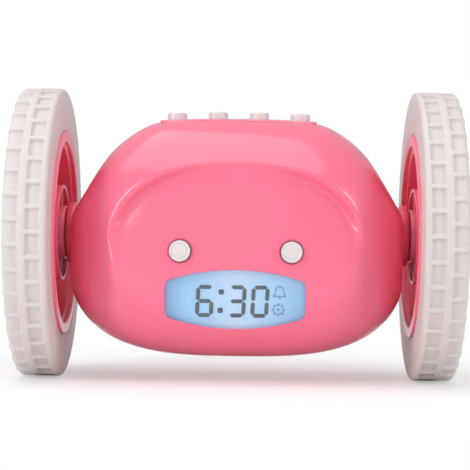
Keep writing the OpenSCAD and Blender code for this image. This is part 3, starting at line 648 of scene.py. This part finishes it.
# ---------- screws with a cross recess ----------
def cross_screw(name, place, head_r, head_t, shank_r, shank_l, body, *nodes):
    """A pan-head screw with its head at local Z = 0 to head_t and its shank below."""
    edge = min(0.35, head_t / 2)
    profile = [(0, -shank_l), (shank_r, -shank_l), (shank_r, 0), (head_r, 0), (head_r, head_t - edge)]
    profile += arc_points(head_r - edge, head_t - edge, edge, 30, 90, 2)
    profile.append((0, head_t))
    ob = revolve(name, profile, place, 48)
    arm, half = head_r * 0.62, head_r * 0.13
    blades = []
    for turn in (0, 90):
        spin = place @ Matrix.Rotation(math.radians(turn + 20), 4, "Z")
        blades.append(prism("blade", [(-arm, -half), (arm, -half), (arm, half), (-arm, half)], spin,
                            head_t * 0.35, head_t + 1))
    cut_away(ob, blades)
    clean(ob, True, 40)
    return dress(ob, "steel", body, "steel", *nodes)


cross_screw("battery_door_screw_head", door_screw @ Matrix.Translation((0, 0, DOOR_SEAT)), DOOR_HEAD_R, 1.2,
            0.8, 5, "battery_door", "battery_door_screw")
for i, place in enumerate(post_places):
    cross_screw("housing_screw_%d" % (i + 1), place @ Matrix.Translation((0, 0, POST_SEAT)),
                                  POST_HEAD_R, 1.4, 1.0, 14, "housing")
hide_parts("housing_screws")

# ---------- top panel ----------
panel_outline = round_rect(PANEL_W, PANEL_L, PANEL_CORNER, 10)
PANEL_PROUD = 0.12
panel = deck_slab("top_panel_plate", -PANEL_T, PANEL_PROUD)
panel_tree = tree_of(panel)
cut_away(panel, [prism("blank", grow(panel_outline, -LIP_R), on_deck(), 20, 60)], "INTERSECT")
key_holes = [prism("key_cut", [(x + p[0], y + p[1]) for p in circle(KEY_D / 2 + SLIDE_GAP + 0.25, 48)],
                   on_deck(), 20, 60) for x, y in key_places()]
cut_away(panel, key_holes)
clean(panel, True, 30)
panel_parts = [panel, lip("panel_edge", panel_outline, on_deck(), panel_tree, LIP_R, PANEL_T, 5, True)]
for x, y in key_places():
    panel_parts.append(lip("key_lip", [(x + p[0], y + p[1]) for p in circle(KEY_D / 2 + SLIDE_GAP, 48)],
                           on_deck(), panel_tree, 0.25, PANEL_T, 4))
dress(join("top_panel_plate", panel_parts), "pink_panel", "housing", "pink_panel", "top_panel")


# ---------- buttons ----------
def button_profile(d, rise, stem, dished):
    r = d / 2
    if dished:
        crest = [(r, rise - 0.45)] + arc_points(r - 0.3, rise - 0.3, 0.3, 0, 90, 4)
        crest += [(r - 0.62, rise - 0.03), (r - 0.78, rise - 0.14), (r - 0.86, rise - 0.22),
                  (r - 0.98, rise - 0.22), (r - 1.04, rise - 0.13),
                  (r - 1.18, rise - 0.08), (r - 1.6, rise + 0.02), (0, rise + 0.06)]
    else:
        crest = arc_points(r - 0.5, rise - 0.5, 0.5, 0, 80, 6) + [(r * 0.5, rise), (0, rise + 0.02)]
    return [(0, -stem), (r + 0.8, -stem), (r + 0.8, -stem + 0.9), (r, -stem + 0.9)] + crest


for s, side in ((-1, "left"), (1, "right")):
    stand = at_axle(s * EYE_X, -EYE_Y, -EYE_DROP) @ FACING_FRONT
    cap = revolve("eye_button_cap_" + side, button_profile(EYE_D, EYE_RISE, 7.3, True), stand, 64, sharp=60)
    dress(cap, "white_button", "eye_button_" + side, "white_button", "eye_button_" + side)
for i, (x, y) in enumerate(key_places()):
    stand = at_axle(x, y, float(deck(x)))
    profile = button_profile(KEY_D, KEY_RISE, float(deck(x)) - KEY_FOOT_Z, False)
    cap = revolve("top_button_cap_%d" % (i + 1), profile, stand, 64, sharp=60)
    dress(cap, "white_button", "top_button_%d" % (i + 1), "white_button", "top_button_%d" % (i + 1))


# ---------- display window ----------
def curved_plate(name, outline, place, tree, d, t, r):
    """A plate whose outer face follows the skin, d below it, with a rounded edge."""
    inward = (place.to_3x3() @ Vector((0, 0, -1))).normalized()
    inner_rings = (0.93, 0.8, 0.6, 0.4, 0.2)
    loops = []
    for k in range(5):
        a = math.radians(90 * k / 4)
        loops.append(([(x, y) for x, y in grow(outline, -r * (1 - math.cos(a)))], r * (1 - math.sin(a))))
    base = grow(outline, -r)
    for f in inner_rings:
        loops.append(([(x * f, y * f) for x, y in base], 0))
    verts, faces = [], []
    for ring, sink in loops:
        verts += [touch(tree, place, x, y) + inward * (d + sink) for x, y in ring]
    verts.append(touch(tree, place, 0, 0) + inward * d)
    n = len(outline)
    m = len(loops)
    faces += [(k * n + i, k * n + (i + 1) % n, (k + 1) * n + (i + 1) % n, (k + 1) * n + i)
              for k in range(m - 1) for i in range(n)]
    faces += [((m - 1) * n + i, (m - 1) * n + (i + 1) % n, m * n) for i in range(n)]
    back = len(verts)
    verts += [p + inward * (t - loops[k][1]) for k in range(m) for p in verts[k * n:k * n + n]]
    verts.append(verts[m * n] + inward * t)
    faces += [tuple(back + v if v < m * n else len(verts) - 1 for v in f) for f in list(faces)]
    faces += [(i, (i + 1) % n, back + (i + 1) % n, back + i) for i in range(n)]
    return mesh_object(name, verts, faces, sharp=60)


window = curved_plate("window_pane", grow(lens(WINDOW_W, WINDOW_H), -0.06), window_place, front_tree,
                      WINDOW_INSET, WINDOW_T, 0.3)
dress(window, "window", "housing", "window", "lcd_window")

# The display: a glass plate, the digits and two small signs just in front of it
DISPLAY_Z = -GLASS_DEPTH
SEG_T, DIGIT_W, DIGIT_H, SLANT = 1.15, 5.2, 9.6, 0.05
SEGMENTS = {"a": (0, 1, 1, 1), "b": (1, 1, 1, 0.5), "c": (1, 0.5, 1, 0), "d": (0, 0, 1, 0), "e": (0, 0.5, 0, 0),
            "f": (0, 1, 0, 0.5), "g": (0, 0.5, 1, 0.5)}
DIGITS = ((-8.95, "acdefg"), (0.5, "abcdg"), (7.2, "abcdef"))
DIGIT_Y, COLON_X = -1.25, -4.25
INK_Z = 0.05             # the ink lies this far in front of the display plate


def flat_shape(outline, z, t=0.12):
    return prism("ink", outline, FACING_WINDOW @ Matrix.Translation((0, 0, DISPLAY_Z)), z, z + t)


def bar_shape(p, q, w, point=True):
    """A flat bar from p to q with pointed ends."""
    p, q = Vector(p), Vector(q)
    u = (q - p).normalized()
    v = Vector((-u.y, u.x)) * w / 2
    tip = u * w / 2 if point else u * 0
    return [tuple(c) for c in (p, p + tip + v, q - tip + v, q, q - tip - v, p + tip - v)]


inks = []
for cx, lit in DIGITS:
    w, h = (DIGIT_W - SEG_T) / 2, (DIGIT_H - SEG_T) / 2
    for seg in lit:
        x0, y0, x1, y1 = SEGMENTS[seg]
        ends = []
        for x, y in ((x0, y0), (x1, y1)):
            ends.append(Vector((cx + (2 * x - 1) * w + SLANT * (2 * y - 1) * h, DIGIT_Y + (2 * y - 1) * h)))
        gap = (ends[1] - ends[0]).normalized() * 0.14
        inks.append(flat_shape(bar_shape(ends[0] + gap, ends[1] - gap, SEG_T), INK_Z))
for dy in (2.75, -2.75):
    dot = round_rect(1.5, 1.5, 0.3, 4)
    inks.append(flat_shape([(x + COLON_X + SLANT * dy, y + DIGIT_Y + dy) for x, y in dot], INK_Z))
dress(join("time_digits", inks), "segment", "housing", "lcd_glass")


def ring_shape(cx, cy, r0, r1, n=32):
    parts = []
    for i in range(n):
        a0, a1 = 2 * math.pi * i / n, 2 * math.pi * (i + 1) / n
        parts.append(flat_shape([(cx + r0 * math.cos(a0), cy + r0 * math.sin(a0)),
                                 (cx + r1 * math.cos(a0), cy + r1 * math.sin(a0)),
                                 (cx + r1 * math.cos(a1), cy + r1 * math.sin(a1)),
                                 (cx + r0 * math.cos(a1), cy + r0 * math.sin(a1))], INK_Z))
    return parts


SIGN_X, BELL_Y, DIAL_Y = 12.9, 1.6, -3.6
bell = [(-1.9, -1.2), (-1.3, -0.6), (-1.15, 0.5)] + arc_points(0, 0.6, 1.15, 180, 0, 10) + \
       [(1.15, 0.5), (1.3, -0.6), (1.9, -1.2)]
signs = []
for p, q in list(zip(bell, bell[1:])) + [(bell[0], bell[-1])]:
    stroke = bar_shape(p, q, 0.34, False)
    signs.append(flat_shape([(x + SIGN_X, y + BELL_Y) for x, y in stroke], INK_Z))
signs.append(flat_shape([(x + SIGN_X, y + BELL_Y - 1.75) for x, y in circle(0.38, 16)], INK_Z))
signs += ring_shape(SIGN_X - 0.3, DIAL_Y, 1.25, 1.6)
signs += ring_shape(SIGN_X - 0.3, DIAL_Y, 0.0001, 0.5, 16)
for i in range(8):
    c, s = math.cos(math.radians(45 * i)), math.sin(math.radians(45 * i))
    signs.append(flat_shape([(x + SIGN_X - 0.3, y + DIAL_Y) for x, y in
                             bar_shape((1.55 * c, 1.55 * s), (2.0 * c, 2.0 * s), 0.45, False)], INK_Z))
dress(join("display_signs", signs), "faint_segment", "housing", "lcd_glass")
display = prism("display_plate", lens(WINDOW_W + 1.6, WINDOW_H + 2.0),
                FACING_WINDOW @ Matrix.Translation((0, 0, DISPLAY_Z)), -1.6, 0)
dress(display, "lcd_glass", "housing", "lcd_glass", "lcd_glass")


# ---------- wheels ----------
RIM_IN_X, RIM_OUT_X, WEB_X, WEB_T = 53.1, 65.3, 60.9, 1.8
SEAT_R, FLANGE_R, BARREL_R, STEP_R, FLANGE_T = 29.3, 31.3, 28.0, 27.0, 1.5
HUB_R, HUB_IN_X, RING_R, RING_WALL = 8.25, 52.9, 14.8, 1.0
AXLE_R, RUN_GAP, COLLAR_R, COLLAR_X, BUSH_R = 1.5, 0.05, 9.4, 52.5, 4.5
RIB_COUNT, RIB_T = 6, 1.2
TYRE_IN_X, TYRE_EDGE_R = 53.7, 1.8
POCKETS, BAR_T, POCKET_DEPTH = 38, 1.6, 1.0
POCKET_EDGE = (-0.3, -0.14, -0.05, 0.05, 0.14, 0.3)     # stations over the soft edge of a pocket
# Each row of pockets: from x, to x, and its shift round the wheel. The outer row is open towards the side.
ROWS = ((55.6, 59.5, 0.5), (61.95, 68.0, 0.0))


def rib(name, place, x0, x1, r0, r1, t, edge=0.3):
    """A radial rib with rounded long edges on its inner side."""
    outline = rounded([(-t / 2, x1), (-t / 2, x0), (t / 2, x0), (t / 2, x1)], [0, edge, edge, 0], 4)
    stand = place @ Matrix(((0, 0, 1, 0), (1, 0, 0, 0), (0, 1, 0, 0), (0, 0, 0, 1)))
    return prism(name, outline, stand, r0, r1)


def hub_recess(x, y):
    """Depth of the five shallow hollows in the hub cap's face, 0 outside them and 1 inside."""
    best = 0.0
    for i in range(5):
        a = math.radians(90 + i * 72)
        u, v = x * math.cos(a) + y * math.sin(a), -x * math.sin(a) + y * math.cos(a)
        dx, dy = abs(u - 17) - 4.4, abs(v) - 2.4
        dist = math.hypot(max(dx, 0), max(dy, 0)) + min(max(dx, dy), 0) - 1.6
        best = max(best, min(max(0.5 - dist / 0.5, 0), 1))
    return best * best * (3 - 2 * best)


def tread_mesh(name, place):
    """The tyre as one closed turned mesh, with its two rows of pockets pressed into the tread."""
    r_in, r_out = TYRE_EDGE_R * 0.7, TYRE_EDGE_R
    side_in = [(SEAT_R, RIM_IN_X + FLANGE_T), (FLANGE_R, RIM_IN_X + FLANGE_T), (FLANGE_R, TYRE_IN_X + 0.45)]
    side_in += [(FLANGE_R + 0.25, TYRE_IN_X + 0.12), (FLANGE_R + 0.8, TYRE_IN_X), (38, TYRE_IN_X)]
    side_in += [(r, x) for r, x in arc_points(WHEEL_R - r_in, TYRE_IN_X + r_in, r_in, -90, 0, 6)][:-1]
    edges = [e for row in ROWS for e in row[:2]]
    marks = {round(TYRE_IN_X + r_in, 4), round(OUTER_X - r_out, 4)}
    for e in edges:
        for off in POCKET_EDGE:
            if TYRE_IN_X + r_in < e + off < OUTER_X - r_out:
                marks.add(round(e + off, 4))
    for lo, hi, shift in ROWS:
        marks |= {round(lo + (min(hi, OUTER_X - r_out) - lo) * f, 4) for f in (0.25, 0.5, 0.75)}
    marks.add(round((ROWS[0][1] + ROWS[1][0]) / 2, 4))
    tread = [(WHEEL_R, x) for x in sorted(marks)]
    side_out = [(WHEEL_R - r_out + (r_out * math.cos(math.radians(a))),
                 OUTER_X - r_out + r_out * math.sin(math.radians(a)))
                for a in (11, 22, 34, 45, 56, 68, 79, 90)]
    side_out += [(38, OUTER_X), (FLANGE_R + 1.2, OUTER_X), (FLANGE_R + 0.3, OUTER_X - 0.2)]
    side_out.append((FLANGE_R, OUTER_X - 0.6))
    side_out += [(FLANGE_R, RIM_OUT_X - FLANGE_T), (SEAT_R, RIM_OUT_X - FLANGE_T)]
    profile = side_in + tread + side_out
    pitch = 2 * math.pi * WHEEL_R / POCKETS
    stops = {round((base + side * BAR_T / 2 + off) % pitch, 5)
             for base in (0, pitch / 2) for side in (-1, 1) for off in POCKET_EDGE}
    stops |= {0.0, round(pitch / 2, 5)} | {round(pitch * f, 5) for f in (0.2, 0.25, 0.3, 0.7, 0.75, 0.8)}
    stops = sorted(stops)
    thetas = [(i * pitch + s) / WHEEL_R for i in range(POCKETS) for s in stops]

    def ramp(t):
        t = min(max(t / 0.5 + 0.5, 0), 1)
        return t * t * (3 - 2 * t)

    verts = []
    for th in thetas:
        arc = th * WHEEL_R
        for r, x in profile:
            sink = 0.0
            if r > WHEEL_R - TYRE_EDGE_R - 0.01 and x > TYRE_IN_X + TYRE_EDGE_R * 0.7 - 0.01:
                for lo, hi, shift in ROWS:
                    across = min(ramp(x - lo), ramp(hi - x))
                    if across > 0:
                        off = (arc - shift * pitch + pitch / 2) % pitch - pitch / 2
                        # a row's pockets are centred on shift and its bars half a pitch away
                        along = ramp(pitch / 2 - BAR_T / 2 - abs(off))
                        sink = max(sink, across * along)
            rr = r - POCKET_DEPTH * sink
            verts.append(place @ Vector((rr * math.cos(th), rr * math.sin(th), x)))
    n, m = len(profile), len(thetas)
    faces = [(i * n + j, (i + 1) % m * n + j, (i + 1) % m * n + (j + 1) % n, i * n + (j + 1) % n)
             for i in range(m) for j in range(n)]
    return mesh_object(name, verts, faces, sharp=55)


for side in ("left", "right"):
    place = side_frame(side == "left")
    wheel = "wheel_" + side
    rim_profile = rounded([
        (AXLE_R, HUB_IN_X), (HUB_R, HUB_IN_X), (HUB_R, WEB_X), (RING_R - RING_WALL, WEB_X),
        (RING_R - RING_WALL, HUB_IN_X + 1.1), (RING_R, HUB_IN_X + 1.1), (RING_R, WEB_X), (STEP_R, WEB_X),
        (STEP_R, RIM_IN_X + 1.6), (BARREL_R, RIM_IN_X + 1.6), (BARREL_R, RIM_IN_X), (FLANGE_R, RIM_IN_X),
        (FLANGE_R, RIM_IN_X + FLANGE_T), (SEAT_R, RIM_IN_X + FLANGE_T), (SEAT_R, RIM_OUT_X - FLANGE_T),
        (FLANGE_R, RIM_OUT_X - FLANGE_T), (FLANGE_R, RIM_OUT_X), (BARREL_R, RIM_OUT_X),
        (STEP_R, RIM_OUT_X - 0.8),
        (STEP_R, WEB_X + WEB_T), (AXLE_R, WEB_X + WEB_T)],
        [0.1, 0.7, 0.6, 0.5, 0.3, 0.3, 0.6, 0.8, 0.3, 0.4, 0.5, 0.5, 0.05, 0.05, 0.05, 0.05, 0.5, 0.4, 0.4,
         0.1, 0.1], 5)
    parts = [revolve("rim", rim_profile, place, 160, sharp=60)]
    for i in range(RIB_COUNT):
        spin = place @ Matrix.Rotation(math.radians(90 + i * 360 / RIB_COUNT), 4, "Z")
        parts.append(rib("rib", spin, HUB_IN_X + 1.6, WEB_X + 0.5,
                         HUB_R - 0.4, RING_R - RING_WALL + 0.4, RIB_T))
    dress(join("wheel_rim_skin_" + side, parts), "pink_rim", wheel, "pink_rim", "wheel_rim_" + side)

    dress(tread_mesh("tyre_skin_" + side, place), "white_tyre", wheel, "white_tyre", "tyre_" + side)

    in_x = WEB_X + WEB_T
    cap_r = BARREL_R - 1.2
    cap_profile = [(cap_r - 1.4, in_x + 1.2), (cap_r - 1.4, in_x), (cap_r, in_x)]
    cap_profile += [(cap_r, in_x + 1.3), (cap_r - 0.12, in_x + 1.55), (cap_r - 0.4, in_x + 1.72),
                    (cap_r - 1.6, in_x + 2.12), (cap_r - 2.2, in_x + 2.28)]
    cap_profile += [(cap_r - 2.5 - k * 0.45, in_x + 2.3) for k in range(35)]
    cap_profile += [(8.9, in_x + 2.36), (8.5, in_x + 2.7), (8.2, in_x + 3.0), (7.8, in_x + 3.16), (6, in_x + 3.25),
                    (3.1, in_x + 3.36), (2.9, in_x + 3.3), (2.8, in_x + 3.1), (2.8, in_x + 1.5),
                    (0.0, in_x + 1.5), (0.0, in_x + 1.45)]
    cap = revolve("hub_cap_disc_" + side, cap_profile, place, 360, sharp=60)
    inverse = place.inverted()
    for v in cap.data.vertices:
        p = inverse @ (Vector(v.co) / MM)
        if p.z > in_x + 2.25 and math.hypot(p.x, p.y) > 9:
            v.co = (place @ Vector((p.x, p.y, p.z - 0.4 * hub_recess(p.x, p.y)))) * MM
    dress(cap, "pink_rim", wheel, "pink_rim", "hub_cap_" + side)
    cross_screw("wheel_screw_head_" + side, place @ Matrix.Translation((0, 0, in_x)), 2.5, 1.5, 0.8, 6, wheel,
                "wheel_screw_" + side)

    flange_x = CHEEK_X - WALL
    collar = rounded([
        (AXLE_R + RUN_GAP, flange_x - 1.5), (BUSH_R + 2, flange_x - 1.5), (BUSH_R + 2, flange_x), (BUSH_R, flange_x),
        (BUSH_R, CHEEK_X), (COLLAR_R, CHEEK_X), (COLLAR_R, COLLAR_X), (AXLE_R + RUN_GAP, COLLAR_X)],
        [0.2, 0.2, 0.1, 0.05, 0.05, 0.05, 0.7, 0.2], 5)
    dress(revolve("axle_collar_" + side, collar, place, 96, sharp=60), "red_collar", "housing", "red_collar",
          "axle_bush_" + side)


# ---------- floor, light and camera ----------
def stage_material():
    """White paper: it keeps the object's shadow close by and runs out to plain white further off."""
    mat, nodes, links, shader = node_material("stage_white")
    shader.inputs["Base Color"].default_value = (0.93, 0.93, 0.93, 1)
    shader.inputs["Roughness"].default_value = 0.9
    shader.inputs["Specular IOR Level"].default_value = 0.1
    plain = nodes.new("ShaderNodeEmission")
    plain.inputs["Color"].default_value = (1, 1, 1, 1)
    path = nodes.new("ShaderNodeLightPath")
    where = nodes.new("ShaderNodeNewGeometry")
    length = nodes.new("ShaderNodeVectorMath")
    length.operation = "LENGTH"
    far_off = nodes.new("ShaderNodeMapRange")
    far_off.interpolation_type = "SMOOTHSTEP"
    far_off.inputs["From Min"].default_value = 0.07
    far_off.inputs["From Max"].default_value = 0.16
    far_off.inputs["To Min"].default_value = 0.4
    seen = nodes.new("ShaderNodeMath")
    seen.operation = "MAXIMUM"
    both_paths = nodes.new("ShaderNodeMath")
    both_paths.operation = "MULTIPLY"
    blend = nodes.new("ShaderNodeMixShader")
    links.new(where.outputs["Position"], length.inputs[0])
    links.new(length.outputs["Value"], far_off.inputs["Value"])
    links.new(path.outputs["Is Camera Ray"], seen.inputs[0])
    links.new(path.outputs["Is Transmission Ray"], seen.inputs[1])
    links.new(seen.outputs[0], both_paths.inputs[0])
    links.new(far_off.outputs["Result"], both_paths.inputs[1])
    links.new(both_paths.outputs[0], blend.inputs["Fac"])
    links.new(shader.outputs["BSDF"], blend.inputs[1])
    links.new(plain.outputs["Emission"], blend.inputs[2])
    links.new(blend.outputs["Shader"], nodes["Material Output"].inputs["Surface"])
    return mat


floor = mesh_object("floor", [(-9000, -9000, 0), (9000, -9000, 0), (9000, 9000, 0), (-9000, 9000, 0)],
                    [(0, 1, 2, 3)], smooth=False)
floor.data.materials.append(stage_material())

world = bpy.data.worlds.new("studio")
bpy.context.scene.world = world
world.use_nodes = True
wn, wl = world.node_tree.nodes, world.node_tree.links
wn.clear()
out_node = wn.new("ShaderNodeOutputWorld")
soft = wn.new("ShaderNodeBackground")
soft.inputs["Color"].default_value = (0.95, 0.97, 1.0, 1)
soft.inputs["Strength"].default_value = 0.54
bright = wn.new("ShaderNodeBackground")
bright.inputs["Color"].default_value = (1, 1, 1, 1)
bright.inputs["Strength"].default_value = 1.0
path = wn.new("ShaderNodeLightPath")
add_1 = wn.new("ShaderNodeMath")
add_1.operation = "MAXIMUM"
mix_world = wn.new("ShaderNodeMixShader")
wl.new(path.outputs["Is Camera Ray"], add_1.inputs[0])
wl.new(path.outputs["Is Transmission Ray"], add_1.inputs[1])
wl.new(add_1.outputs[0], mix_world.inputs["Fac"])
wl.new(soft.outputs[0], mix_world.inputs[1])
wl.new(bright.outputs[0], mix_world.inputs[2])
wl.new(mix_world.outputs[0], out_node.inputs["Surface"])


def area_light(name, at, target, size, power, color=(1, 1, 1)):
    data = bpy.data.lights.new(name, "AREA")
    data.shape = "RECTANGLE"
    data.size, data.size_y = size
    data.energy = power
    data.color = color
    ob = bpy.data.objects.new(name, data)
    bpy.context.scene.collection.objects.link(ob)
    ob.location = at
    ob.rotation_euler = (Vector(target) - Vector(at)).to_track_quat("-Z", "Y").to_euler()
    return ob


CENTRE = (0, 0, AXLE_Z * MM)
area_light("key_top", (-0.12, -0.10, 0.85), CENTRE, (1.3, 0.8), 4.6)
area_light("fill_front", (-0.1, -1.05, 0.30), CENTRE, (1.0, 0.6), 0.7)
area_light("strip_left", (-0.62, -0.50, 0.22), CENTRE, (0.14, 0.75), 3.0)
area_light("strip_right", (0.66, -0.42, 0.20), CENTRE, (0.12, 0.75), 1.9)

cam_data = bpy.data.cameras.new("camera")
cam_data.sensor_fit = "HORIZONTAL"
cam_data.sensor_width = 36.0
cam_data.lens = 117.3
cam_data.clip_start = 0.01
cam = bpy.data.objects.new("camera", cam_data)
bpy.context.scene.collection.objects.link(cam)
CAM_DISTANCE, CAM_AZIMUTH, CAM_ELEVATION, CAM_ROLL = 476.0, 0.8, 0.0, 0.72
CAM_AIM = (-0.78, 0.0, -0.22)
az, el = math.radians(CAM_AZIMUTH), math.radians(CAM_ELEVATION)
eye = Vector((math.sin(az) * math.cos(el), -math.cos(az) * math.cos(el), math.sin(el))) * CAM_DISTANCE
eye.z += AXLE_Z
target = Vector((CAM_AIM[0], CAM_AIM[1], AXLE_Z + CAM_AIM[2]))
turn = (target - eye).to_track_quat("-Z", "Y").to_matrix().to_4x4()
cam.matrix_world = Matrix.Translation(eye * MM) @ turn @ Matrix.Rotation(math.radians(CAM_ROLL), 4, "Z")
bpy.context.scene.camera = cam
bpy.context.scene.view_settings.view_transform = "Standard"
